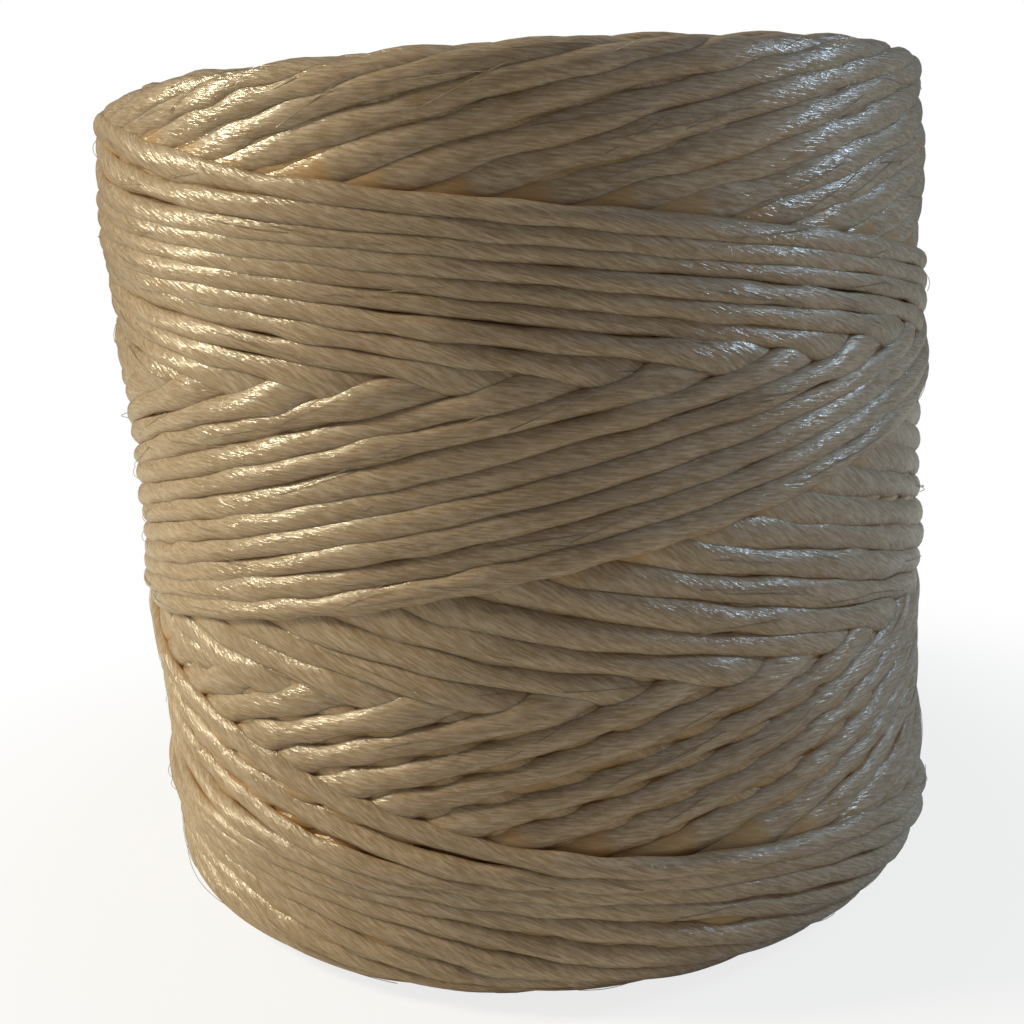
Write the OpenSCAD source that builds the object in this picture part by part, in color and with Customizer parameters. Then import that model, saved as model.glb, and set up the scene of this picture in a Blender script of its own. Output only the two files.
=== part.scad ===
// Cross-wound package of waxed leatherworking thread on a paperboard tube.
// Millimetres, +Z up. The origin is on the tube's axis, in the plane that the package stands on.

/* [Package] */
// Diameter over the outermost turns
package_d = 75; // [60:1:110]
// Height between the two flat ends of the winding
package_h = 74.5; // [50:0.5:120]
// Radius of the rounded shoulders of the inner winding
shoulder_r = 6.5; // [4:0.5:8]

/* [Core tube] */
// Bore of the tube, which slips over a spindle
bore_d = 25.4; // [19:0.1:32]
// Thickness of the paper liner that lines the bore
liner_t = 0.35; // [0.2:0.05:0.6]
// Thickness of the grey board plies
board_t = 1.6; // [1:0.1:2.5]
// Thickness of the smooth wrap under the first turns
wrap_t = 0.35; // [0.2:0.05:0.6]
// Glue line between one ply and the next
glue_t = 0.05; // [0.02:0.01:0.1]
// Distance by which each end of the tube lies inside the winding's end
core_inset = 0.5; // [0:0.1:2]
// Clearance between the wrap and the first layer of turns
first_turn_gap = 0.1; // [0.05:0.05:0.3]

/* [Thread] */
// Width of the thread as it lies on the package
thread_w = 1.9; // [1.2:0.1:2.6]
// Thickness of the thread as it lies on the package
thread_t = 1.2; // [0.8:0.1:1.6]

/* [Outer winding] */
// Whole turns in one double stroke, up the package and down again
stroke_turns = 3; // [2:1:3]
// Angle by which each double stroke starts further round than the one before
stroke_advance = 45; // [45:15:90]
// Azimuth of the first turn's lower end
start_azimuth = -30; // [-180:15:180]
// How sharply the thread turns back at the two ends, where 1 is a corner
reversal_sharpness = 0.97; // [0.9:0.01:0.99]
// Gap between a rising turn and the falling turn that crosses over it
crossing_gap = 0.55; // [0.5:0.05:0.8]
// Gap between the inner winding and the rising turns
seat_gap = 0.3; // [0.2:0.05:0.5]
// Gap between the lowest turn and the plane that the package stands on
end_gap = 0.2; // [0.1:0.05:0.5]

/* [Hidden] */
$fn = 96;
thread_colour = [0.86, 0.79, 0.65];
inner_thread_colour = [0.76, 0.67, 0.52];
board_colour = [0.62, 0.56, 0.48];
paper_colour = [0.78, 0.70, 0.58];

// Radii of the tube's plies, from the bore outwards
liner_ir = bore_d / 2;
liner_or = liner_ir + liner_t;
board_ir = liner_or + glue_t;
board_or = board_ir + board_t;
wrap_ir = board_or + glue_t;
wrap_or = wrap_ir + wrap_t;
core_len = package_h - 2 * core_inset;

// Each turn is a polygon of straight steps, and each section of the thread is a hexagon
loop_rings = 24;
ring_angle = 360 / loop_rings;
section_sides = 6;
step_cos = cos(ring_angle / 2);

// Offsets of the thread's centre line from the inner winding's surface
package_r = package_d / 2;
inner_winding_ir = wrap_or + first_turn_gap;
inner_winding_r = step_cos * (package_r - 2 * thread_t - crossing_gap) - seat_gap;
falling_offset = package_r - thread_t / 2 - inner_winding_r;
rising_offset = falling_offset - thread_t - crossing_gap;

// The thread travels along the side and over part of both shoulders
side_half = package_h / 2 - shoulder_r;
shoulder_centre_r = inner_winding_r - shoulder_r;
reversal_angle = asin((shoulder_r - end_gap - thread_w / 2) / (shoulder_r + falling_offset));
reach = side_half + shoulder_r * reversal_angle * PI / 180;

// Rings of one double stroke, and of all double strokes that fit before the pattern closes
double_stroke_rings = stroke_turns * loop_rings + stroke_advance / ring_angle;
double_strokes = floor(360 / stroke_advance);
last_ring = floor((double_strokes - 0.5) * double_stroke_rings);

// Phase of a ring within its double stroke: 0 at the lower reversal, 0.5 at the upper one
function phase(i) = (i % double_stroke_rings) / double_stroke_rings;

// Distance travelled from mid-height, measured along the inner winding's surface
function travel(x) =
    -reach * asin(reversal_sharpness * cos(360 * x)) / asin(reversal_sharpness);

// Offset of the centre line: rising turns lie under falling ones, and change over at the reversals
function offset_at(x) =
    x == 0 || x == 0.5 ? (rising_offset + falling_offset) / 2
    : x < 0.5 ? rising_offset
    : falling_offset;

// Radius, height and surface angle of the centre line at a ring
function lay(i) =
    let (x = phase(i), m = travel(x), q = offset_at(x))
    let (a = sign(m) * max(0, abs(m) - side_half) / shoulder_r * 180 / PI)
    [
        shoulder_centre_r + (shoulder_r + q) * cos(a),
        package_h / 2 + min(max(m, -side_half), side_half) + (shoulder_r + q) * sin(a),
        a
    ];

// Corner of the thread's section, as radius and height
function corner(s, k) =
    let (b = 360 * k / section_sides)
    let (across = thread_w / 2 * cos(b), out = thread_t / 2 * sin(b) / sin(60))
    [
        s[0] - across * sin(s[2]) + out * cos(s[2]),
        s[1] + across * cos(s[2]) + out * sin(s[2])
    ];

function turn_point(p, azimuth) = [p[0] * cos(azimuth), p[0] * sin(azimuth), p[1]];

// Stations between rings, at which the gaps between turns are measured
stations_per_ring = 4;
stations_per_loop = loop_rings * stations_per_ring;

function station(n) =
    let (i = floor(n / stations_per_ring), f = n / stations_per_ring - i)
    lay(i) * (1 - f) + lay(i + 1) * f;

// Half the width of the thread's section along a direction in its own plane
function half_width(s, dir) =
    max([for (k = [0 : section_sides - 1]) (corner(s, k) - [s[0], s[1]]) * dir]);

// Clear distance between two sections along a direction
function clear_along(s, t, dir) =
    abs([t[0] - s[0], t[1] - s[1]] * dir) - half_width(s, dir) - half_width(t, dir);

// Clear distance between two sections, as the best of three directions that part them
function section_gap(s, t) =
    let (v = [t[0] - s[0], t[1] - s[1]])
    max(
        clear_along(s, t, v / norm(v)),
        clear_along(s, t, [cos(s[2]), sin(s[2])]),
        clear_along(s, t, [-sin(s[2]), cos(s[2])])
    );

function least_gap() =
    let (stations = [for (n = [0 : last_ring * stations_per_ring - 1]) station(n)])
    let (reach_across = 2 * thread_w + crossing_gap)
    step_cos * min([
        for (n = [0 : len(stations) - 1])
        for (m = [n + stations_per_loop : stations_per_loop : len(stations) - 1])
        let (s = stations[n], t = stations[m])
        if (norm([t[0] - s[0], t[1] - s[1]]) < reach_across) section_gap(s, t)
    ]);

module ply(outer_r, inner_r) {
    translate([0, 0, core_inset])
        difference() {
            cylinder(h = core_len, r = outer_r);
            translate([0, 0, -1]) cylinder(h = core_len + 2, r = inner_r);
        }
}

module core_liner() {
    color(paper_colour) ply(liner_or, liner_ir);
}

module core_board() {
    color(board_colour) ply(board_or, board_ir);
}

module core_wrap() {
    color(paper_colour) ply(wrap_or, wrap_ir);
}

// Half section of the inner layers of thread, with a rounded shoulder at each end
module inner_winding_profile() {
    translate([inner_winding_ir, 0])
        square([shoulder_centre_r - inner_winding_ir, package_h]);
    translate([inner_winding_ir, shoulder_r])
        square([inner_winding_r - inner_winding_ir, package_h - 2 * shoulder_r]);
    for (z = [shoulder_r, package_h - shoulder_r])
        translate([shoulder_centre_r, z]) circle(r = shoulder_r);
}

module inner_winding() {
    color(inner_thread_colour) rotate_extrude() inner_winding_profile();
}

// The last layer of turns, laid as one unbroken thread that crosses over itself
module outer_winding() {
    points = [
        for (i = [0 : last_ring])
        for (k = [0 : section_sides - 1])
        turn_point(corner(lay(i), k), start_azimuth + i * ring_angle)
    ];
    sides = [
        for (i = [0 : last_ring - 1])
        for (k = [0 : section_sides - 1])
        let (a = i * section_sides + k, b = i * section_sides + (k + 1) % section_sides)
        each [[a, b + section_sides, b], [a, a + section_sides, b + section_sides]]
    ];
    end_start = last_ring * section_sides;
    caps = [
        for (k = [1 : section_sides - 2])
        each [[0, k, k + 1], [end_start, end_start + k + 1, end_start + k]]
    ];
    color(thread_colour) polyhedron(points = points, faces = concat(sides, caps), convexity = 10);
    echo(str("loops in the outer winding: ", last_ring / loop_rings));
    echo(str("least gap of the outer winding to itself: ", least_gap(), " mm"));
}

core_liner();
core_board();
core_wrap();
inner_winding();
outer_winding();
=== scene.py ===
import math
import bpy
import numpy as np
from mathutils import Matrix, Vector


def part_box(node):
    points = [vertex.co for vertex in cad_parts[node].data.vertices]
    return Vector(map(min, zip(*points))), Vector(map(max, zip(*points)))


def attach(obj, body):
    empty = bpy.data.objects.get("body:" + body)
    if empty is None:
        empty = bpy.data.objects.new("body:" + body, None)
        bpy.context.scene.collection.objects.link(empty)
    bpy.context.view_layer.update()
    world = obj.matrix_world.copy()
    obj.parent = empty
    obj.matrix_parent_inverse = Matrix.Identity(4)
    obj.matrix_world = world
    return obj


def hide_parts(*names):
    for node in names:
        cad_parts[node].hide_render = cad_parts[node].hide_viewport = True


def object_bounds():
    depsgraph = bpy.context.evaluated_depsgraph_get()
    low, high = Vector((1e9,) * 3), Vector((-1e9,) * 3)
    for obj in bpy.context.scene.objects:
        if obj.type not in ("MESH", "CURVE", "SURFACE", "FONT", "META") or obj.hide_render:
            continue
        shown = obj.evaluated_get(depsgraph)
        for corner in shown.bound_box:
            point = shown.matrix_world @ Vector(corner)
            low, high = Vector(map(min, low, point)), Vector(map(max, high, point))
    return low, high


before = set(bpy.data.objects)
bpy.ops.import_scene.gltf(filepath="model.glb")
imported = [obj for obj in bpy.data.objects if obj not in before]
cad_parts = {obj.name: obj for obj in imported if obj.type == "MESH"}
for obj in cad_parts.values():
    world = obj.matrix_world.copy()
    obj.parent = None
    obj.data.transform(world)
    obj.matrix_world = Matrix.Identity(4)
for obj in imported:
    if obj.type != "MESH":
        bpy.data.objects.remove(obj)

# A cross-wound package of waxed thread on a paperboard tube. Sizes are in millimetres, and
# become Blender's metres where a mesh is made.
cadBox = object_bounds()
mm = 0.001
body = "root"
packageRadius = (cadBox[1].x - cadBox[0].x) / 2 / mm
packageHeight = cadBox[1].z / mm
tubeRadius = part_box("core_wrap")[1].x / mm


def linearColour(code):
    channels = [int(code[i:i + 2], 16) / 255 for i in (1, 3, 5)]
    linear = [c / 12.92 if c <= 0.04045 else ((c + 0.055) / 1.055) ** 2.4 for c in channels]
    return (*linear, 1.0)


def addNode(tree, kind, settings=(), inputs=()):
    node = tree.nodes.new(kind)
    for name, value in dict(settings).items():
        setattr(node, name, value)
    for name, value in dict(inputs).items():
        if isinstance(value, bpy.types.NodeSocket):
            tree.links.new(value, node.inputs[name])
        else:
            node.inputs[name].default_value = value
    return node


viewer = {
    "distance": 129.9,        # from the package's axis, towards -Y
    "height": 63.2,
    "pitch": -13.19,          # degrees
    "yaw": -0.84,
    "roll": -3.72,
    "focalPixels": 1320,
    "framePixels": 1024,
    "sensor": 36.0,
    "nearest": 5.0,           # nothing closer than this is shown
}


def makeCamera():
    pitch, yaw, roll = (math.radians(viewer[k]) for k in ("pitch", "yaw", "roll"))
    ahead = Vector((math.sin(yaw) * math.cos(pitch), math.cos(yaw) * math.cos(pitch), math.sin(pitch)))
    level = Vector((math.cos(yaw), -math.sin(yaw), 0))
    upright = level.cross(ahead)
    right = level * math.cos(roll) + upright * math.sin(roll)
    up = upright * math.cos(roll) - level * math.sin(roll)
    data = bpy.data.cameras.new("viewer")
    data.sensor_width = viewer["sensor"]
    data.lens = viewer["sensor"] * viewer["focalPixels"] / viewer["framePixels"]
    data.clip_start = viewer["nearest"] * mm
    camera = bpy.data.objects.new("viewer", data)
    bpy.context.collection.objects.link(camera)
    turn = Matrix((right, up, -ahead)).transposed().to_4x4()
    place = Matrix.Translation((0, -viewer["distance"] * mm, viewer["height"] * mm))
    camera.matrix_world = place @ turn
    bpy.context.scene.camera = camera


makeCamera()
print("camera made")


# The outline that the outermost turns fill: a side, a rounded shoulder at each end, flat ends.
# "travel" is a height on the side, and runs on round the shoulders by distance along them.
outline = {
    "lowerShoulder": (6.5, 5.2),    # how far it reaches in across the end, and along the side
    "upperShoulder": (4.0, 3.4),
    "endReach": 4.0,                # how far past each shoulder the outline is known
    "endClearance": 0.9,            # least height of a thread's centre over the end plane
    "endEasing": 0.3,
    "step": 0.1,
    "arcPoints": 181,
}


def makeShoulder(across, along):
    turn = np.linspace(0, math.pi / 2, outline["arcPoints"])
    arcR = packageRadius - across * (1 - np.cos(turn))
    arcZ = along * (1 - np.sin(turn))
    arcAway = np.concatenate(([0], np.cumsum(np.hypot(np.diff(arcR), np.diff(arcZ)))))
    away = np.arange(outline["step"], arcAway[-1] + outline["endReach"], outline["step"])
    beyond = np.maximum(away - arcAway[-1], 0)
    return away, np.interp(away, arcAway, arcR) - beyond, np.interp(away, arcAway, arcZ)


def makeOutline():
    lower, upper = outline["lowerShoulder"], outline["upperShoulder"]
    lowerAway, lowerR, lowerZ = makeShoulder(*lower)
    upperAway, upperR, upperZ = makeShoulder(*upper)
    sideEnd = packageHeight - upper[1]
    side = np.linspace(lower[1], sideEnd, int((sideEnd - lower[1]) / outline["step"]))
    travel = np.concatenate((lower[1] - lowerAway[::-1], side, sideEnd + upperAway))
    r = np.concatenate((lowerR[::-1], np.full(len(side), packageRadius), upperR))
    z = np.concatenate((lowerZ[::-1], side, packageHeight - upperZ))
    outR, outZ = np.gradient(z), -np.gradient(r)
    length = np.hypot(outR, outZ)
    return travel, r, z, outR / length, outZ / length


outlineTravel, outlineR, outlineZ, outlineOutR, outlineOutZ = makeOutline()


def pressedFlat(z):
    # Keeps a thread's centre inside the two flat ends, where the turns are pressed against them
    least, ease = outline["endClearance"], outline["endEasing"]
    raised = least + ease * np.logaddexp(0, (z - least) / ease)
    most = packageHeight - least
    return most - ease * np.logaddexp(0, (most - raised) / ease)


def onOutline(travel, height):
    r, z, outR, outZ = (np.interp(travel, outlineTravel, column)
                        for column in (outlineR, outlineZ, outlineOutR, outlineOutZ))
    return r + height * outR, z + height * outZ, outR, outZ


# The traverse: where the thread lies after each part of a turn, on its way up and down.
# Turn 0 is at the front of the package in the newest double stroke.
traverse = {
    "rising": [(-0.71, -1.4), (-0.60, 5.0), (-0.45, 14.4), (-0.30, 23.6), (-0.163, 31.2), (-0.06, 34.6),
               (0, 37.2), (0.157, 44.0), (0.33, 51.8), (0.46, 58.4), (0.60, 65.3), (0.68, 69.0),
               (0.74, 71.7), (0.785, 73.7)],
    "falling": [(-0.215, 73.7), (-0.17, 70.6), (-0.118, 67.1), (0, 62.5), (0.156, 57.3), (0.30, 51.8),
                (0.50, 41.9), (0.70, 31.0), (0.84, 24.0), (0.90, 19.7), (1.0, 13.7), (1.117, 10.3),
                (1.159, 8.8), (1.26, 3.4), (1.332, -1.4)],
    "turns": 3,               # whole turns in one double stroke
    "easing": 0.022,          # turns over which a reversal is rounded
    "widthEasing": 30,        # samples over which the thread's width changes
}
winding = {
    "threadWidth": 1.68,
    "threadThickness": 1.25,
    "skirt": 1.2,             # how much wider the thread's foot is than its crown
    "strokesPerCover": 24,    # double strokes until the surface is covered once
    "coversLaid": 3,
    "coversShown": 2.0,
    "flattening": 0.75,       # thickness left where a thread presses on those below
    "footing": 5,             # rows on each side of a thread's middle that carry it
    "bearing": 0.45,          # share of its weight that the highest of them takes
    "stiffness": 3,           # samples over which its bends are rounded
    "wander": (0.07, 0.025),  # how far a thread strays from its course, slowly and from turn to turn
    "wanderWaves": (5, 22),   # waves of both in one turn
    "closeness": 1.07,        # share of its room that a thread fills
    "widening": (0.94, 1.2),  # least and greatest share of its width to which a thread spreads
    "pressing": 0.38,         # how much wider it is where it is pressed on those below
    "bridging": 0.08,         # height over those below at which it is round again
    "unevenness": (0.045, 9),    # share by which its width changes, and rings in one such wave
    "swelling": (0.03, 45),      # the same for its whole section
    "roll": (0.12, 60),          # radians by which its section tips to and fro, and rings in one wave
    "spreading": 0.35,        # how much wider it is under the newer turns that press on it
    "spreadingDepth": 0.4,    # depth under them at which it is as wide as that
    "spreadingEasing": 10,    # samples over which it becomes so
    "endFade": (2.0, 6.0),    # distances from the ends between which its depth begins to count
    "settling": 0.72,         # share of the relief left once the tension has pressed the turns in
    "reliefEasing": 4,        # samples over which that relief is rounded
    "bedLevel": -1.35,        # where the buried turns are pressed together
    "bedEasing": 0.35,
    "skinLevel": -0.8,        # how far up the gaps between turns are filled by the turns under them
    "skinRelief": 0.1,        # how far the filling sinks below that level
    "endSpread": 1.6,         # older turns reach this much further over the shoulders, per cover
    "topLevel": -1.7,         # mean height of the turns' centres over the outline
    "levelEasing": 1.2,       # millimetres over which that mean is taken
    "columns": 720,           # samples in one turn
    "rowStep": 0.15,
    "shownStep": 3,           # samples between the rings of the finished thread
    "sides": 14,
    "pieces": 8,
    "seed": 11,
}


def easedCurve(knots, at):
    x, y = np.array(knots).T
    slope = np.diff(y) / np.diff(x)
    inner = 2 / (1 / slope[1:] + 1 / slope[:-1])          # harmonic mean keeps it monotonic
    tangent = np.concatenate(([slope[0]], inner, [slope[-1]]))
    i = np.clip(np.searchsorted(x, at) - 1, 0, len(x) - 2)
    width = x[i + 1] - x[i]
    f = (at - x[i]) / width
    return ((2 * f**3 - 3 * f**2 + 1) * y[i] + (f**3 - 2 * f**2 + f) * width * tangent[i]
            + (3 * f**2 - 2 * f**3) * y[i + 1] + (f**3 - f**2) * width * tangent[i + 1])


def smoothed(values, sigma, wrap=False):
    reach = int(4 * sigma) + 1
    kernel = np.exp(-0.5 * (np.arange(-reach, reach + 1) / sigma) ** 2)
    padded = np.pad(values, reach, mode="wrap" if wrap else "edge")
    return np.convolve(padded, kernel / kernel.sum(), "valid")


def makeTraverse():
    columns = winding["columns"]
    rising, falling = traverse["rising"], traverse["falling"]
    samples = columns * traverse["turns"] + columns // winding["strokesPerCover"]
    samplesUp = round((rising[-1][0] - rising[0][0]) * columns)
    up = easedCurve(rising, rising[0][0] + np.arange(samplesUp) / columns)
    down = easedCurve(falling, falling[0][0] + np.arange(samples - samplesUp) / columns)
    course = smoothed(np.concatenate((up, down)), traverse["easing"] * columns, wrap=True)
    # A thread spreads until it meets the next one beside it.
    climb = np.abs(np.gradient(course)) * columns
    pitch = climb / winding["strokesPerCover"] * np.cos(np.arctan(climb / (2 * math.pi * packageRadius)))
    spread = np.clip(pitch / winding["threadWidth"] * winding["closeness"], *winding["widening"])
    return course, smoothed(spread, traverse["widthEasing"], wrap=True), samplesUp


def wavyNoise(rng, count, samplesPerWave, waves=4):
    at = np.arange(count) / samplesPerWave * 2 * math.pi
    total = np.zeros(count)
    for _ in range(waves):
        total += np.sin(at * rng.uniform(0.4, 1.6) + rng.uniform(0, 2 * math.pi))
    return total / math.sqrt(waves / 2)


def tautHull(floor, columns):
    # A pulled thread bridges each dip by a straight line, which is this hull once the
    # package's own curve is taken away.
    angle = (np.arange(len(floor)) - len(floor) / 2) * 2 * math.pi / columns
    lowered = floor - packageRadius * angle**2 / 2
    kept = []
    for i, value in enumerate(lowered):
        while len(kept) > 1:
            a, b = kept[-2], kept[-1]
            if (lowered[b] - lowered[a]) * (i - a) <= (value - lowered[a]) * (b - a):
                kept.pop()
            else:
                break
        kept.append(i)
    taut = np.interp(np.arange(len(floor)), kept, lowered[kept])
    return taut + packageRadius * angle**2 / 2


def settled(height):
    # Under the last turns the older ones are pressed into one dense bed.
    bed, ease = winding["bedLevel"], winding["bedEasing"]
    return bed + ease * np.logaddexp(0, (height - bed) / ease)


def layThread():
    # Lays the thread stroke by stroke over a height map of the package's surface, and returns
    # the course of the turns that are shown and the surface under them.
    rng = np.random.default_rng(winding["seed"])
    course, widths, samplesUp = makeTraverse()
    columns, rowStep = winding["columns"], winding["rowStep"]
    lowest = outlineTravel[0]
    middle = packageHeight / 2
    rows = int((outlineTravel[-1] - lowest) / rowStep) + 1
    surface = np.zeros((rows, columns))
    strokes = winding["strokesPerCover"] * winding["coversLaid"]
    shown = int(winding["strokesPerCover"] * winding["coversShown"])
    halfWidth, halfThickness = winding["threadWidth"] / 2, winding["threadThickness"] / 2
    footing = np.arange(-winding["footing"], winding["footing"] + 1)
    bearing, stiffness = winding["bearing"], winding["stiffness"]
    reach = int(halfWidth * winding["widening"][1] * (1 + winding["pressing"]) / rowStep) + 1
    # The newest double stroke passes the front at turn 0 of its rising part.
    start = round(traverse["rising"][0][0] * columns) - (strokes - 1) * len(course)
    wander = np.zeros(len(course) * strokes)
    for size, waves in zip(winding["wander"], winding["wanderWaves"]):
        wander += size * wavyNoise(rng, len(wander), columns / waves)
    laid, under = [], None
    for stroke in range(strokes):
        if stroke == strokes - shown:
            under = surface.copy()
        age = (strokes - 1 - stroke) / winding["strokesPerCover"]
        spread = 1 + winding["endSpread"] * age / middle
        for first, last in ((0, samplesUp), (samplesUp, len(course))):
            sample = stroke * len(course) + np.arange(first, last)
            column = (start + sample) % columns
            travel = middle + (course[first:last] - middle) * spread + wander[sample]
            row = np.clip((travel - lowest) / rowStep, reach + 1, rows - reach - 2)
            nearest = np.round(row).astype(int)
            below = surface[nearest[None, :] + footing[:, None], column[None, :]]
            floor = bearing * below.max(0) + (1 - bearing) * below.mean(0)
            taut = tautHull(floor, columns)
            centre = smoothed(taut, stiffness) + halfThickness * winding["flattening"]
            pressed = smoothed(np.exp((floor - taut) / winding["bridging"]), stiffness)
            width = widths[first:last] * (1 + winding["pressing"] * (pressed - pressed.mean()))
            for offset in range(-reach, reach + 1):
                away = (nearest + offset - row) * rowStep / (halfWidth * width)
                inside = np.abs(away) < 1
                crown = centre[inside] + halfThickness * np.sqrt(1 - away[inside] ** 2)
                spot = (nearest[inside] + offset, column[inside])
                surface[spot] = np.maximum(surface[spot], crown)
            if stroke >= strokes - shown:
                laid.append((sample, column, travel, centre, width))
    sample, column, travel, centre, width = (np.concatenate(part) for part in zip(*laid))
    # How deep each turn lies under newer ones, which is left out at the very ends
    nearest = np.clip(np.round((travel - lowest) / rowStep).astype(int), 0, rows - 1)
    around = surface[np.clip(nearest[None, :] + footing[:, None], 0, rows - 1), column[None, :]]
    buried = smoothed(np.maximum(around.max(0) - centre - halfThickness, 0), winding["reliefEasing"])
    fadeFrom, fadeTo = winding["endFade"]
    fromEnd = middle - np.abs(travel - middle)
    buried *= np.clip((fromEnd - fadeFrom) / (fadeTo - fadeFrom), 0, 1)
    # The mean height of the turns, by place along the outline, becomes the outline itself.
    rowTravel = lowest + np.arange(rows) * rowStep
    count = np.bincount(nearest, minlength=rows)
    used = np.flatnonzero(count > winding["strokesPerCover"])
    mean = np.bincount(nearest, centre, rows)[used] / count[used]
    level = smoothed(np.interp(np.arange(rows), used, mean), winding["levelEasing"] / rowStep)
    relief = smoothed(centre - np.interp(travel, rowTravel, level), winding["reliefEasing"])
    height = settled(relief * winding["settling"] + winding["topLevel"])
    under = np.clip((under - level[:, None]) * winding["settling"] + winding["topLevel"],
                    winding["skinLevel"] - winding["skinRelief"], winding["skinLevel"])
    return sample, column, travel, height, width, buried, rowTravel, under


(sampleIndex, sampleColumn, sampleTravel, sampleHeight, sampleWidth, sampleBuried,
 underTravel, underHeight) = layThread()
print("thread laid:", len(sampleIndex), "samples")


def threadSweepTree():
    # Sweeps the thread's oval section along a path, and keeps for each point its place in the
    # straightened thread, in millimetres.
    tree = bpy.data.node_groups.new("threadSweep", "GeometryNodeTree")
    tree.interface.new_socket("Path", in_out="INPUT", socket_type="NodeSocketGeometry")
    for name, kind, value in (("Width", "NodeSocketFloat", 0.002),
                              ("Thickness", "NodeSocketFloat", 0.0013),
                              ("Skirt", "NodeSocketFloat", 1.0),
                              ("Sides", "NodeSocketInt", 10),
                              ("Finish", "NodeSocketMaterial", None)):
        socket = tree.interface.new_socket(name, in_out="INPUT", socket_type=kind)
        if value is not None:
            socket.default_value = value
    tree.interface.new_socket("Thread", in_out="OUTPUT", socket_type="NodeSocketGeometry")
    given = addNode(tree, "NodeGroupInput").outputs

    def attribute(name, kind):
        node = addNode(tree, "GeometryNodeInputNamedAttribute", {"data_type": kind}, {"Name": name})
        return node.outputs["Attribute"]

    # The section's X points outwards. Its inner half is widened by the skirt.
    circle = addNode(tree, "GeometryNodeCurvePrimitiveCircle", inputs={
        "Resolution": given["Sides"], "Radius": 0.5})
    place = addNode(tree, "GeometryNodeInputPosition")
    unit = addNode(tree, "ShaderNodeSeparateXYZ", inputs={"Vector": place.outputs["Position"]})
    widening = addNode(tree, "ShaderNodeMapRange", {"interpolation_type": "SMOOTHSTEP"}, {
        "Value": unit.outputs["X"], "From Min": 0.2, "From Max": -0.2,
        "To Min": 1.0, "To Max": given["Skirt"]})
    breadth = addNode(tree, "ShaderNodeMath", {"operation": "MULTIPLY"}, {
        0: given["Width"], 1: widening.outputs["Result"]})
    oval = addNode(tree, "ShaderNodeCombineXYZ", inputs={
        "X": given["Thickness"], "Y": breadth.outputs["Value"], "Z": 1.0})
    pressed = addNode(tree, "ShaderNodeVectorMath", {"operation": "MULTIPLY"}, {
        0: place.outputs["Position"], 1: oval.outputs["Vector"]})
    section = addNode(tree, "GeometryNodeSetPosition", inputs={
        "Geometry": circle.outputs["Curve"], "Position": pressed.outputs["Vector"]})
    inMillimetres = addNode(tree, "ShaderNodeVectorMath", {"operation": "SCALE"}, {
        0: place.outputs["Position"], "Scale": 1000.0})
    marked = addNode(tree, "GeometryNodeStoreNamedAttribute",
                     {"data_type": "FLOAT_VECTOR", "domain": "POINT"},
                     {"Geometry": section.outputs["Geometry"], "Name": "across",
                      "Value": inMillimetres.outputs["Vector"]})
    curve = addNode(tree, "GeometryNodeMeshToCurve", inputs={"Mesh": given["Path"]})
    aimed = addNode(tree, "GeometryNodeSetCurveNormal", {"mode": "FREE"}, {
        "Curve": curve.outputs["Curve"], "Normal": attribute("outward", "FLOAT_VECTOR")})
    swept = addNode(tree, "GeometryNodeCurveToMesh", inputs={
        "Curve": aimed.outputs["Curve"], "Profile Curve": marked.outputs["Geometry"],
        "Scale": attribute("fullness", "FLOAT"), "Fill Caps": True})
    parts = addNode(tree, "ShaderNodeSeparateXYZ", inputs={"Vector": attribute("across", "FLOAT_VECTOR")})
    straight = addNode(tree, "ShaderNodeCombineXYZ", inputs={
        "X": attribute("along", "FLOAT"), "Y": parts.outputs["X"], "Z": parts.outputs["Y"]})
    kept = addNode(tree, "GeometryNodeStoreNamedAttribute",
                   {"data_type": "FLOAT_VECTOR", "domain": "POINT"},
                   {"Geometry": swept.outputs["Mesh"], "Name": "threadSpace",
                    "Value": straight.outputs["Vector"]})
    share = addNode(tree, "ShaderNodeMath", {"operation": "MULTIPLY"}, {0: parts.outputs["Y"], 1: mm})
    sidestep = addNode(tree, "ShaderNodeVectorMath", {"operation": "SCALE"}, {
        0: attribute("sideways", "FLOAT_VECTOR"), "Scale": share.outputs["Value"]})
    spread = addNode(tree, "GeometryNodeSetPosition", inputs={
        "Geometry": kept.outputs["Geometry"], "Offset": sidestep.outputs["Vector"]})
    smooth = addNode(tree, "GeometryNodeSetShadeSmooth", inputs={"Geometry": spread.outputs["Geometry"]})
    real = addNode(tree, "GeometryNodeRealizeInstances", inputs={"Geometry": smooth.outputs["Geometry"]})
    finished = addNode(tree, "GeometryNodeSetMaterial", inputs={
        "Geometry": real.outputs["Geometry"], "Material": given["Finish"]})
    addNode(tree, "NodeGroupOutput", inputs={"Thread": finished.outputs["Geometry"]})
    return tree


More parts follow.
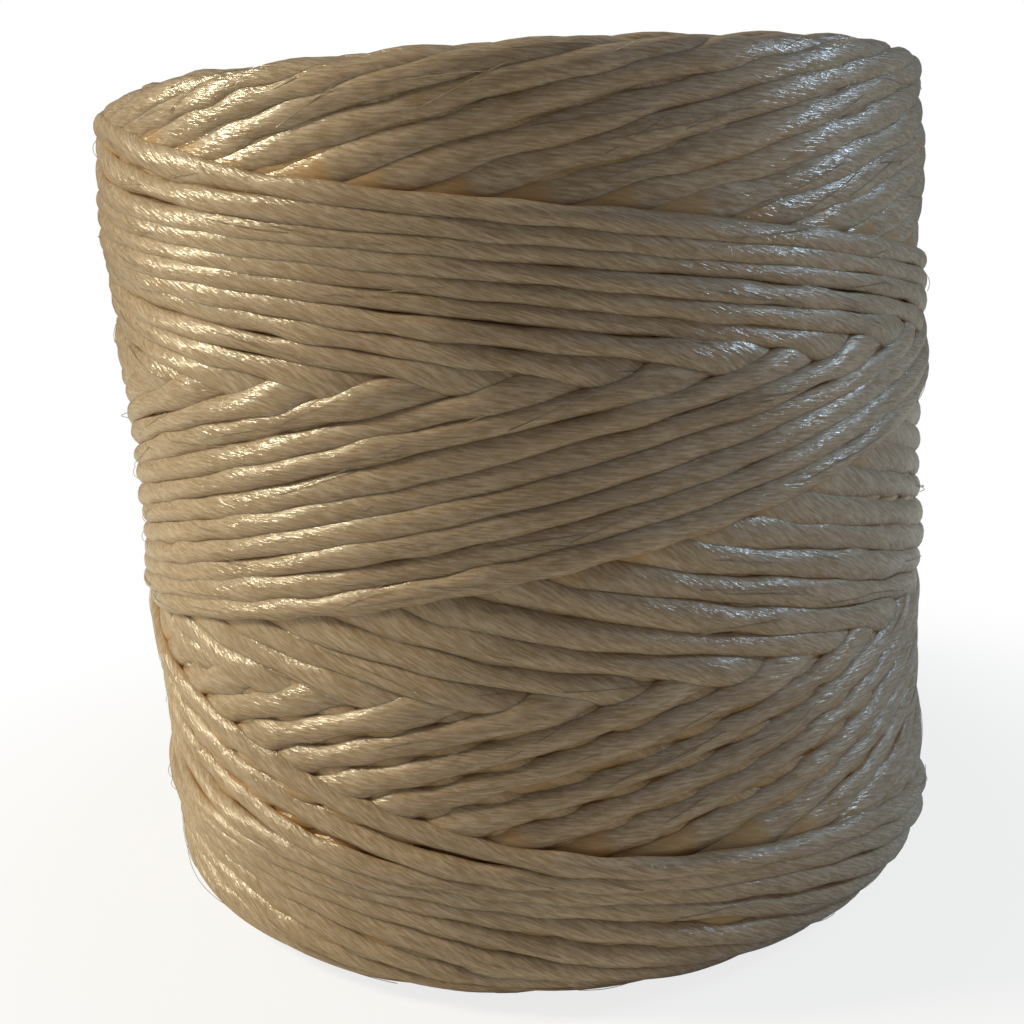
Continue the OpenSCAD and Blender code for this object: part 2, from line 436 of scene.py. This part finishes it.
def sweepThread(name, tree, paths, skirt, sides, finish):
    # Each path has its points, outward directions, share of full thickness, share of full
    # width, distance along the thread and depth under newer turns, all in millimetres.
    count = [len(path[0]) for path in paths]
    ahead = np.concatenate([np.gradient(path[0], axis=0) for path in paths])
    ahead /= np.linalg.norm(ahead, axis=1)[:, None]
    points, outward, fullness, breadth, along, buried = (np.concatenate(part) for part in zip(*paths))
    sideways = np.cross(ahead, outward) * (breadth / fullness - 1)[:, None]
    ends = np.cumsum(count)
    edge = np.setdiff1d(np.arange(ends[-1]), ends - 1)
    mesh = bpy.data.meshes.new(name)
    mesh.vertices.add(len(points))
    mesh.edges.add(len(edge))
    mesh.vertices.foreach_set("co", (points * mm).astype(np.float32).ravel())
    mesh.edges.foreach_set("vertices", np.stack((edge, edge + 1), 1).astype(np.int32).ravel())
    for label, kind, field, values in (("outward", "FLOAT_VECTOR", "vector", outward),
                                       ("sideways", "FLOAT_VECTOR", "vector", sideways),
                                       ("fullness", "FLOAT", "value", fullness),
                                       ("along", "FLOAT", "value", along),
                                       ("buried", "FLOAT", "value", buried)):
        layer = mesh.attributes.new(label, kind, "POINT")
        layer.data.foreach_set(field, values.astype(np.float32).ravel())
    path = bpy.data.objects.new(name, mesh)
    bpy.context.collection.objects.link(path)
    modifier = path.modifiers.new("sweep", "NODES")
    modifier.node_group = tree
    given = {"Width": winding["threadWidth"] * mm, "Thickness": winding["threadThickness"] * mm,
             "Skirt": skirt, "Sides": sides, "Finish": finish}
    for item in tree.interface.items_tree:
        if item.in_out == "INPUT" and item.name in given:
            modifier[item.identifier] = given[item.name]
    evaluated = path.evaluated_get(bpy.context.evaluated_depsgraph_get())
    plain = bpy.data.meshes.new_from_object(evaluated)
    path.modifiers.clear()
    path.data = plain
    bpy.data.meshes.remove(mesh)
    plain.name = name
    return path


# Waxed multifilament thread: satin, slightly translucent polyester filaments with a right-handed
# twist under a thin coat of wax. The eye sees fine slanted streaks that glint, and cream that
# turns brown where turns shade each other, a shade that is painted into the colour.
threadFinish = {
    "cream": "#B39F8A",
    "shade": "#A08B6C",
    "bleached": "#C9B9A5",
    # The next two browns are painted shade: the first where newer turns cover a thread, the second down a
    # thread's lower flank, in the grooves between turns
    "buried": "#BE9862",
    "gap": "#CC985A",
    "tones": (0.38, 0.5, 0.64),     # where shade, cream and bleached lie in the filaments' pattern
    "gapFrom": -0.45,               # heights over the thread's middle between which a groove's painted brown shade ends
    "gapTo": 0.12,
    "buriedShadeFrom": 0.5,              # depths under newer turns between which a thread is painted brown, as shade
    "buriedShadeTo": 1.3,
    "buriedShadeShare": 0.7,
    "twist": -0.42,                 # radians of filament twist in one millimetre
    "filamentsPerMm": 7.0,          # bundles of some ten filaments, because single ones are too fine to show
    "filamentStretch": 10.0,
    "strandsPerMm": 1.7,
    "strandStretch": 8.0,
    "strandShare": 0.2,             # of the strands in the colour, the rest is filaments
    "glintsPerMm": 5.5,
    "glintStretch": 12.0,
    "strandRelief": 0.06,           # millimetres
    "filamentRelief": 0.05,
    "glintRelief": 0.17,
    "patchesPerMm": 0.09,           # patches of thicker and thinner wax
    "patchTones": (0.93, 1.05),
    "roughness": (0.72, 0.5),       # between the filaments, and on them
    "specular": 0.25,
    "waxIor": 1.6,
    "waxRoughness": 0.22,
    "translucency": 0.45,
    "scatterRadius": (1.0, 0.8, 0.6),
    "scatterScale": 0.9,
}


def waxedThread(name):
    material = bpy.data.materials.new(name)
    material.use_nodes = True
    tree = material.node_tree
    tree.nodes.clear()
    space = addNode(tree, "ShaderNodeAttribute", {"attribute_name": "threadSpace"})
    parts = addNode(tree, "ShaderNodeSeparateXYZ", inputs={"Vector": space.outputs["Vector"]})
    angle = addNode(tree, "ShaderNodeMath", {"operation": "MULTIPLY"}, {
        0: parts.outputs["X"], 1: threadFinish["twist"]})
    twisted = addNode(tree, "ShaderNodeVectorRotate", {"rotation_type": "X_AXIS"}, {
        "Vector": space.outputs["Vector"], "Angle": angle.outputs["Value"]})

    def streaks(kind, detail):
        perMm, stretch = threadFinish[kind + "sPerMm"], threadFinish[kind + "Stretch"]
        scaled = addNode(tree, "ShaderNodeMapping", inputs={
            "Vector": twisted.outputs["Vector"], "Scale": (perMm / stretch, perMm, perMm)})
        noise = addNode(tree, "ShaderNodeTexNoise", inputs={
            "Vector": scaled.outputs["Vector"], "Scale": 1.0, "Detail": detail, "Roughness": 0.6})
        return noise.outputs["Fac"]

    filaments = streaks("filament", 3.0)
    strands = streaks("strand", 1.0)
    fine = streaks("glint", 2.0)

    # Colour: streaks of three tones, painted brown shade where it is buried or deep in a groove, uneven wax
    both = addNode(tree, "ShaderNodeMix", {"data_type": "FLOAT"}, {
        "Factor": threadFinish["strandShare"], "A": filaments, "B": strands})
    ramp = addNode(tree, "ShaderNodeValToRGB", inputs={"Fac": both.outputs["Result"]})
    stops = ramp.color_ramp.elements
    first, middle, last = threadFinish["tones"]
    stops[0].position, stops[0].color = first, linearColour(threadFinish["shade"])
    stops[1].position, stops[1].color = last, linearColour(threadFinish["bleached"])
    stops.new(middle).color = linearColour(threadFinish["cream"])
    # Painted shade where newer turns cover the thread
    cover = addNode(tree, "ShaderNodeAttribute", {"attribute_name": "buried"})
    buriedShadeMask = addNode(tree, "ShaderNodeMapRange", {"interpolation_type": "SMOOTHSTEP"}, {
        "Value": cover.outputs["Fac"], "From Min": threadFinish["buriedShadeFrom"],
        "From Max": threadFinish["buriedShadeTo"], "To Max": threadFinish["buriedShadeShare"]})
    buriedShaded = addNode(tree, "ShaderNodeMix", {"data_type": "RGBA"}, {
        0: buriedShadeMask.outputs["Result"], 6: ramp.outputs["Color"], 7: linearColour(threadFinish["buried"])})
    # Painted groove shade: brown towards the lower side of the section
    depth = addNode(tree, "ShaderNodeMapRange", {"interpolation_type": "SMOOTHSTEP"}, {
        "Value": parts.outputs["Y"], "From Min": threadFinish["gapFrom"],
        "From Max": threadFinish["gapTo"], "To Min": 1.0, "To Max": 0.0})
    shaded = addNode(tree, "ShaderNodeMix", {"data_type": "RGBA"}, {
        0: depth.outputs["Result"], 6: buriedShaded.outputs[2], 7: linearColour(threadFinish["gap"])})
    place = addNode(tree, "ShaderNodeTexCoord")
    patches = addNode(tree, "ShaderNodeTexNoise", inputs={
        "Vector": place.outputs["Object"], "Scale": threadFinish["patchesPerMm"] / mm, "Detail": 2.0})
    thin, thick = threadFinish["patchTones"]
    waxTone = addNode(tree, "ShaderNodeMapRange", inputs={
        "Value": patches.outputs["Fac"], "From Min": 0.3, "From Max": 0.7, "To Min": thin, "To Max": thick})
    toned = addNode(tree, "ShaderNodeVectorMath", {"operation": "SCALE"}, {
        0: shaded.outputs[2], "Scale": waxTone.outputs["Result"]})

    # Gloss: matte fibres under a coat of wax, whose own finer relief gives the glints
    between, on = threadFinish["roughness"]
    rough = addNode(tree, "ShaderNodeMapRange", inputs={
        "Value": filaments, "From Min": 0.3, "From Max": 0.7, "To Min": between, "To Max": on})
    strandRelief = addNode(tree, "ShaderNodeBump", inputs={
        "Strength": 1.0, "Distance": threadFinish["strandRelief"] * mm, "Height": strands})
    relief = addNode(tree, "ShaderNodeBump", inputs={
        "Strength": 1.0, "Distance": threadFinish["filamentRelief"] * mm, "Height": filaments,
        "Normal": strandRelief.outputs["Normal"]})
    glints = addNode(tree, "ShaderNodeBump", inputs={
        "Strength": 1.0, "Distance": threadFinish["glintRelief"] * mm, "Height": fine,
        "Normal": strandRelief.outputs["Normal"]})
    shader = addNode(tree, "ShaderNodeBsdfPrincipled", inputs={
        "Base Color": toned.outputs["Vector"],
        "Roughness": rough.outputs["Result"],
        "IOR": 1.5,
        "Normal": relief.outputs["Normal"],
        "Specular IOR Level": threadFinish["specular"],
        "Subsurface Weight": threadFinish["translucency"],
        "Subsurface Radius": threadFinish["scatterRadius"],
        "Subsurface Scale": threadFinish["scatterScale"] * mm,
        "Coat Weight": 1.0,
        "Coat IOR": threadFinish["waxIor"],
        "Coat Roughness": threadFinish["waxRoughness"],
        "Coat Normal": glints.outputs["Normal"]})
    addNode(tree, "ShaderNodeOutputMaterial", inputs={"Surface": shader.outputs["BSDF"]})
    return material


outerThread = waxedThread("waxed polyester thread, twisted and satin")
sweepTree = threadSweepTree()


def slotted(piece):
    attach(piece, body)
    return piece


def placeThread():
    rng = np.random.default_rng(winding["seed"] + 1)
    keep = np.arange(0, len(sampleIndex), winding["shownStep"])
    angle = sampleIndex[keep] * 2 * math.pi / winding["columns"]
    angle = angle - angle[0] + sampleColumn[0] * 2 * math.pi / winding["columns"] - math.pi / 2
    r, z, outR, outZ = onOutline(sampleTravel[keep], sampleHeight[keep])
    z = pressedFlat(z)
    points = np.stack((r * np.cos(angle), r * np.sin(angle), z), 1)

    def uneven(kind):
        size, rings = winding[kind]
        return wavyNoise(rng, len(keep), rings) * size

    roll = uneven("roll")
    ahead = np.gradient(points, axis=0)
    ahead /= np.linalg.norm(ahead, axis=1)[:, None]
    outward = np.stack((outR * np.cos(angle), outR * np.sin(angle), outZ), 1)
    sideways = np.cross(ahead, outward)
    outward = outward * np.cos(roll)[:, None] + sideways * np.sin(roll)[:, None]
    fullness = 1 + uneven("swelling")
    breadth = fullness * sampleWidth[keep] * (1 + uneven("unevenness"))
    # Where newer turns press on it, the thread spreads and closes the openings beside them.
    depth = smoothed(sampleBuried, winding["spreadingEasing"])[keep]
    breadth *= 1 + winding["spreading"] * np.clip(depth / winding["spreadingDepth"], 0, 1)
    along = np.concatenate(([0], np.cumsum(np.linalg.norm(np.diff(points, axis=0), axis=1))))
    return points, outward, fullness, breadth, along, sampleBuried[keep]


def makeOuterTurns():
    # One unbroken thread, cut into pieces of a size that is easy to handle
    pieces = winding["pieces"]
    bounds = np.linspace(0, len(thread[0]) - 1, pieces + 1).astype(int)
    made = []
    for i in range(pieces):
        part = [column[bounds[i]:bounds[i + 1] + 1] for column in thread]
        piece = sweepThread(f"outer_turns_{i + 1}", sweepTree, [part],
                            winding["skirt"], winding["sides"], outerThread)
        made.append(slotted(piece))
    return made


thread = placeThread()
outerTurns = makeOuterTurns()
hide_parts("outer_winding")
print("outer turns made")


# Single filaments that have worked loose from the thread and lie over the turns
stray = {
    "count": 450,
    "section": 0.045,         # share of the thread's section
    "length": (3.0, 10.0),
    "lift": 0.12,             # mean height of a filament's middle over the thread
    "drift": 1.6,             # how far it strays across the turns
    "footing": 0.93,          # share of the thread's half thickness at which its ends lie
    "depth": 0.1,             # no filament starts on a thread that lies deeper under newer turns
    "endRings": 20,           # rings at the thread's last end that have no filament
    "bothEndsHeld": 0.7,      # share of them that arch, the others have one end free
    "points": 12,
    "sides": 5,
}


def makeStrayFilaments():
    rng = np.random.default_rng(winding["seed"] + 3)
    points, outward, _, _, along, buried = thread
    newest = len(along) // 2
    exposed = np.flatnonzero(buried[newest:-stray["endRings"]] < stray["depth"]) + newest
    share = np.linspace(0, 1, stray["points"])
    even = np.full(stray["points"], stray["section"])
    paths = []
    for first in rng.choice(exposed, stray["count"], replace=False):
        at = along[first] + share * rng.uniform(*stray["length"])
        course, out = (np.stack([np.interp(at, along, row) for row in whole.T], 1)
                       for whole in (points, outward))
        across = np.cross(np.gradient(course, axis=0), out)
        across /= np.linalg.norm(across, axis=1)[:, None]
        drift = rng.uniform(-1, 1) * stray["drift"] * (share - rng.uniform())
        arch = np.sin(math.pi * share) if rng.uniform() < stray["bothEndsHeld"] else share**2
        lift = stray["footing"] * winding["threadThickness"] / 2 + rng.exponential(stray["lift"]) * arch
        path = course + out * lift[:, None] + across * drift[:, None]
        paths.append((path, out, even, even, at, 0 * even))
    piece = sweepThread("stray_filaments", sweepTree, paths, 1.0, stray["sides"], outerThread)
    return slotted(piece)


strayFilaments = makeStrayFilaments()
print("stray filaments made")


# The layers under the turns that are shown, as a skin with the relief of the thread it stands for
skin = {
    "columns": 240,
    "rowStep": 3,             # rows of the height map between its rings
    "sideInset": 0.4,         # where its side ends, before the shoulders turn onto the ends
    "endRings": [(tubeRadius + 0.3, 1.6), (25.0, 1.6), (31.0, 2.2)],    # radius, depth under the end
}


def makeUnderLayers():
    columns = skin["columns"]
    rowsShown = np.arange(0, len(underTravel), skin["rowStep"])
    travel = underTravel[rowsShown]
    height = underHeight[rowsShown][:, ::winding["columns"] // columns]
    r, z, _, _ = onOutline(travel[:, None], height)
    inside = (travel > skin["sideInset"]) & (travel < packageHeight - skin["sideInset"])
    ends = np.repeat(np.array(skin["endRings"])[:, :, None], columns, 2)
    r = np.concatenate((ends[:, 0], r[inside], ends[::-1, 0]))
    z = np.concatenate((ends[:, 1], z[inside], packageHeight - ends[::-1, 1]))
    angle = np.arange(columns) * 2 * math.pi / columns - math.pi / 2
    points = np.stack((r * np.cos(angle), r * np.sin(angle), z), 2).reshape(-1, 3)
    rings = len(r)
    i, j = np.meshgrid(np.arange(rings - 1), np.arange(columns), indexing="ij")
    after = (j + 1) % columns
    faces = np.stack((i * columns + j, i * columns + after, (i + 1) * columns + after,
                      (i + 1) * columns + j), 2).reshape(-1, 4)
    # A wall round the tube joins the last ring to the first.
    i, j = rings - 1, np.arange(columns)
    closing = np.stack((i * columns + j, i * columns + (j + 1) % columns, (j + 1) % columns, j), 1)
    faces = np.concatenate((faces, closing))
    mesh = bpy.data.meshes.new("under_layers")
    mesh.from_pydata((points * mm).tolist(), [], faces.tolist())
    mesh.materials.append(outerThread)
    mesh.polygons.foreach_set("use_smooth", np.ones(len(faces), bool))
    # Its place in the section is at the foot of the groove range, so the whole skin is painted with the
    # groove shade's brown
    layer = mesh.attributes.new("threadSpace", "FLOAT_VECTOR", "POINT")
    around = np.tile(angle * packageRadius, rings)
    flat = np.stack((around, np.full(len(around), threadFinish["gapFrom"]),
                     np.repeat(z.mean(1), columns)), 1)
    layer.data.foreach_set("vector", flat.astype(np.float32).ravel())
    piece = bpy.data.objects.new("under_layers", mesh)
    bpy.context.collection.objects.link(piece)
    return slotted(piece)


underLayers = makeUnderLayers()
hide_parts("inner_winding")
print("under layers made")


# Reversals of the deeper layers, which make the flat ends: each is a short bend of thread that
# rises to the end, turns back over its neighbour and dives again.
reversals = {
    "firstRadius": 16.4,
    "lastRadius": 35.0,
    "layerPitch": 1.95,
    "layerTurn": 37,          # degrees by which each ring of bends starts further round
    "perLayer": 24,
    "halfSpan": 32.0,         # degrees
    "fall": 0.13,             # millimetres per degree, away from the bend
    "easing": 6.0,            # degrees over which the bend is rounded
    "legOffset": 0.55,        # how far the two legs of a bend lie from its middle
    "legEasing": 4,           # degrees over which they part
    "unevenPlace": 0.12,      # share of the bends' spacing by which each is out of place
    "unevenRadius": 0.15,
    "unevenDepth": (0.05, 0.3),    # how far under the end plane they reach
    "patternLength": 500,     # each takes its own part of this length of the filaments' pattern
    "rings": 27,
    "sides": 8,
}


def makeEndTurns():
    rng = np.random.default_rng(winding["seed"] + 2)
    span = np.linspace(-reversals["halfSpan"], reversals["halfSpan"], reversals["rings"])
    fall = reversals["fall"] * (np.hypot(span, reversals["easing"]) - reversals["easing"])
    leg = reversals["legOffset"] * np.tanh(span / reversals["legEasing"])
    even = np.ones(len(span))
    spacing = 360 / reversals["perLayer"]
    place, aside = reversals["unevenPlace"], reversals["unevenRadius"]
    made = []
    for end in ("upper", "lower"):
        across, along = outline[end + "Shoulder"]
        flatRadius = packageRadius - across
        outward = np.tile((0, 0, 1 if end == "upper" else -1), (len(span), 1))
        paths = []
        layers = np.arange(reversals["firstRadius"], reversals["lastRadius"], reversals["layerPitch"])
        for layer, radius in enumerate(layers):
            # The outer bends follow the shoulder down.
            past = min(max(radius - flatRadius, 0) / across, 0.99)
            drop = along * (1 - math.sqrt(1 - past**2))
            for k in range(reversals["perLayer"]):
                turn = spacing * (k + rng.uniform(-place, place)) + layer * reversals["layerTurn"]
                angle = np.radians(turn + span)
                r = radius + leg + rng.uniform(-aside, aside)
                inside = winding["threadThickness"] / 2 + rng.uniform(*reversals["unevenDepth"])
                depth = inside + drop + fall
                z = packageHeight - depth if end == "upper" else depth
                points = np.stack((r * np.cos(angle), r * np.sin(angle), z), 1)
                distance = rng.uniform(0, reversals["patternLength"]) + np.radians(span) * radius
                paths.append((points, outward, even, even, distance, 0 * even))
        piece = sweepThread(end + "_end_turns", sweepTree, paths, 1.0, reversals["sides"], outerThread)
        made.append(slotted(piece))
    return made


endTurns = makeEndTurns()
print("end turns made")


# Papers of the tube: recycled board and kraft paper, spirally wound and glued. Matte and fibrous,
# with faint specks.
tubePapers = {
    "core_liner": ("kraft paper, spirally wound", "#B9936A", "#8E6A44", 0.25),    # specks in a millimetre
    "core_board": ("recycled grey board", "#A39684", "#7C7060", 0.5),
    "core_wrap": ("calendered paper", "#CDB58F", "#B39870", 0.3),
}
paperFinish = {
    "fibresPerMm": 1.8,       # clumps of fibres, because single ones are too fine to show
    "relief": 0.1,
    "roughness": 0.85,
}


def paper(name, light, dark, specksPerMm):
    material = bpy.data.materials.new(name)
    material.use_nodes = True
    tree = material.node_tree
    tree.nodes.clear()
    place = addNode(tree, "ShaderNodeTexCoord")
    fibres = addNode(tree, "ShaderNodeTexNoise", inputs={
        "Vector": place.outputs["Object"], "Scale": paperFinish["fibresPerMm"] / mm,
        "Detail": 4.0, "Roughness": 0.7})
    clouds = addNode(tree, "ShaderNodeTexNoise", inputs={
        "Vector": place.outputs["Object"], "Scale": specksPerMm / mm, "Detail": 3.0})
    both = addNode(tree, "ShaderNodeMix", {"data_type": "FLOAT"}, {
        "Factor": 0.5, "A": fibres.outputs["Fac"], "B": clouds.outputs["Fac"]})
    ramp = addNode(tree, "ShaderNodeValToRGB", inputs={"Fac": both.outputs["Result"]})
    stops = ramp.color_ramp.elements
    stops[0].position, stops[0].color = 0.35, linearColour(dark)
    stops[1].position, stops[1].color = 0.65, linearColour(light)
    relief = addNode(tree, "ShaderNodeBump", inputs={
        "Strength": 0.5, "Distance": paperFinish["relief"] * mm, "Height": fibres.outputs["Fac"]})
    shader = addNode(tree, "ShaderNodeBsdfPrincipled", inputs={
        "Base Color": ramp.outputs["Color"], "Roughness": paperFinish["roughness"],
        "Normal": relief.outputs["Normal"]})
    addNode(tree, "ShaderNodeOutputMaterial", inputs={"Surface": shader.outputs["BSDF"]})
    return material


for node, finish in tubePapers.items():
    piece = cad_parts[node]
    piece.data.materials.clear()
    piece.data.materials.append(paper(*finish))
print("tube finished")


# Studio: a pale floor, one soft warm lamp at the left, one weaker cool lamp at the right
studio = {
    "floorSize": 4000.0,
    "floorTone": "#E8E4DE",         # as it lights the package, and as the camera sees it
    "floorSeen": "#FAFAF8",
    "shadowReach": (42.0, 95.0),    # the floor turns from shaded to plain white between these
    "shadowShare": 0.2,
    "lamps": [                      # name, place, size, power in watts, colour
        ("key", (-335, -20, 262), 80, 1.4, "#FFF1CC"),
        ("fill", (350, 0, 230), 50, 0.54, "#B6D2E8"),
    ],
    "skyStrength": 0.138,
    "skyTone": "#F6F0E8",
    "skySeen": "#FFFFFF",
}


def paleFloor():
    # Lights the object as pale paper does, and shows the camera a shadow that fades into white
    material = bpy.data.materials.new("pale studio floor")
    material.use_nodes = True
    tree = material.node_tree
    tree.nodes.clear()
    place = addNode(tree, "ShaderNodeTexCoord")
    away = addNode(tree, "ShaderNodeVectorMath", {"operation": "LENGTH"}, {0: place.outputs["Object"]})
    near, far = studio["shadowReach"]
    white = addNode(tree, "ShaderNodeMapRange", {"interpolation_type": "SMOOTHSTEP"}, {
        "Value": away.outputs["Value"], "From Min": near * mm, "From Max": far * mm,
        "To Min": 1 - studio["shadowShare"], "To Max": 1.0})
    ray = addNode(tree, "ShaderNodeLightPath")
    seen = addNode(tree, "ShaderNodeMath", {"operation": "MULTIPLY"}, {
        0: white.outputs["Result"], 1: ray.outputs["Is Camera Ray"]})
    tone = addNode(tree, "ShaderNodeMix", {"data_type": "RGBA"}, {
        0: ray.outputs["Is Camera Ray"], 6: linearColour(studio["floorTone"]),
        7: linearColour(studio["floorSeen"])})
    matte = addNode(tree, "ShaderNodeBsdfDiffuse", inputs={"Color": tone.outputs[2]})
    glow = addNode(tree, "ShaderNodeEmission", inputs={"Color": (1, 1, 1, 1), "Strength": 1.0})
    mixed = addNode(tree, "ShaderNodeMixShader", inputs={
        0: seen.outputs["Value"], 1: matte.outputs["BSDF"], 2: glow.outputs["Emission"]})
    addNode(tree, "ShaderNodeOutputMaterial", inputs={"Surface": mixed.outputs["Shader"]})
    return material


def makeFloor():
    half = studio["floorSize"] / 2 * mm
    corners = [(-half, -half, 0), (half, -half, 0), (half, half, 0), (-half, half, 0)]
    mesh = bpy.data.meshes.new("floor")
    mesh.from_pydata(corners, [], [(0, 1, 2, 3)])
    floor = bpy.data.objects.new("floor", mesh)
    bpy.context.collection.objects.link(floor)
    mesh.materials.append(paleFloor())


def makeLamps():
    for name, place, width, power, colour in studio["lamps"]:
        data = bpy.data.lights.new(name, "AREA")
        data.size = width * mm
        data.energy = power
        data.color = linearColour(colour)[:3]
        lamp = bpy.data.objects.new(name, data)
        bpy.context.collection.objects.link(lamp)
        lamp.location = Vector(place) * mm
        aim = Vector((0, 0, packageHeight / 2)) * mm - lamp.location
        lamp.rotation_euler = aim.to_track_quat("-Z", "Y").to_euler()


def makeSky():
    world = bpy.data.worlds.new("studio")
    bpy.context.scene.world = world
    world.use_nodes = True
    tree = world.node_tree
    tree.nodes.clear()
    ray = addNode(tree, "ShaderNodeLightPath")
    seen = addNode(tree, "ShaderNodeMapRange", inputs={
        "Value": ray.outputs["Is Camera Ray"], "To Min": studio["skyStrength"], "To Max": 1.0})
    tone = addNode(tree, "ShaderNodeMix", {"data_type": "RGBA"}, {
        0: ray.outputs["Is Camera Ray"], 6: linearColour(studio["skyTone"]),
        7: linearColour(studio["skySeen"])})
    sky = addNode(tree, "ShaderNodeBackground", inputs={
        "Color": tone.outputs[2], "Strength": seen.outputs["Result"]})
    addNode(tree, "ShaderNodeOutputWorld", inputs={"Surface": sky.outputs["Background"]})


makeFloor()
makeLamps()
makeSky()
bpy.context.scene.view_settings.view_transform = "Standard"
print("studio made")
